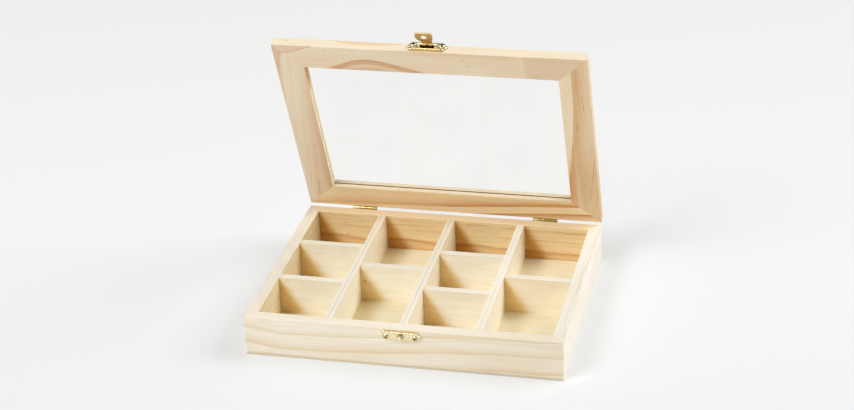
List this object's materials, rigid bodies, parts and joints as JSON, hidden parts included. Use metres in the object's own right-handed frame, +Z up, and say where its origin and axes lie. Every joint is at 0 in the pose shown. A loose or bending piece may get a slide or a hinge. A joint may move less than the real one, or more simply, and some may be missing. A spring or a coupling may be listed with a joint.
{
  "type": "tea bag organizer box",
  "caption": "Wooden tea bag box with open compartments, a glazed hinged lid and a brass hasp clasp.",
  "frame": {"origin": "middle of the box's footprint, on its underside", "axes": "+X to the box's right as its clasp is faced, +Y towards the hinges, +Z up"},
  "size_m": [0.3, 0.2429, 0.2755],
  "materials": {
    "wall_pine": "unfinished sanded pine",
    "lid_pine": "unfinished sanded pine",
    "divider_plywood": "unfinished plywood",
    "floor_plywood": "unfinished plywood",
    "brass": "polished brass plate",
    "glass": "clear float glass"
  },
  "bodies": {
    "base": {"front_wall": "wall_pine", "back_wall": "wall_pine", "left_wall": "wall_pine", "right_wall": "wall_pine", "bottom_panel": "floor_plywood", "long_divider_left": "divider_plywood", "long_divider_middle": "divider_plywood", "long_divider_right": "divider_plywood", "cross_divider_1_front": "divider_plywood", "cross_divider_1_rear": "divider_plywood", "cross_divider_2": "divider_plywood", "cross_divider_3_front": "divider_plywood", "cross_divider_3_rear": "divider_plywood", "cross_divider_4": "divider_plywood", "hinge_left_base_leaf": "brass", "hinge_right_base_leaf": "brass", "hinge_left_pin": "brass", "hinge_right_pin": "brass", "hinge_base_screws": "brass", "catch_plate": "brass", "catch_knob": "brass", "catch_screws": "brass"},
    "lid": {"lid_front_rail": "lid_pine", "lid_back_rail": "lid_pine", "lid_left_stile": "lid_pine", "lid_right_stile": "lid_pine", "glass_pane": "glass", "hinge_left_lid_leaf": "brass", "hinge_right_lid_leaf": "brass", "hinge_lid_screws": "brass", "clasp_plate": "brass", "clasp_pin": "brass", "clasp_screws": "brass"},
    "hasp": {"hasp_flap": "brass"}
  },
  "joints": [
    {"name": "lid_hinge", "type": "hinge", "parent": "base", "child": "lid", "pos_m": [0, 0.1154, 0.04075], "axis": [-1, 0, 0], "range_deg": [-68, 112]},
    {"name": "flap_hinge", "type": "hinge", "parent": "lid", "child": "hasp", "pos_m": [0, 0.0362, 0.25854], "axis": [-1, 0, 0], "range_deg": [-62, 108]}
  ]
}
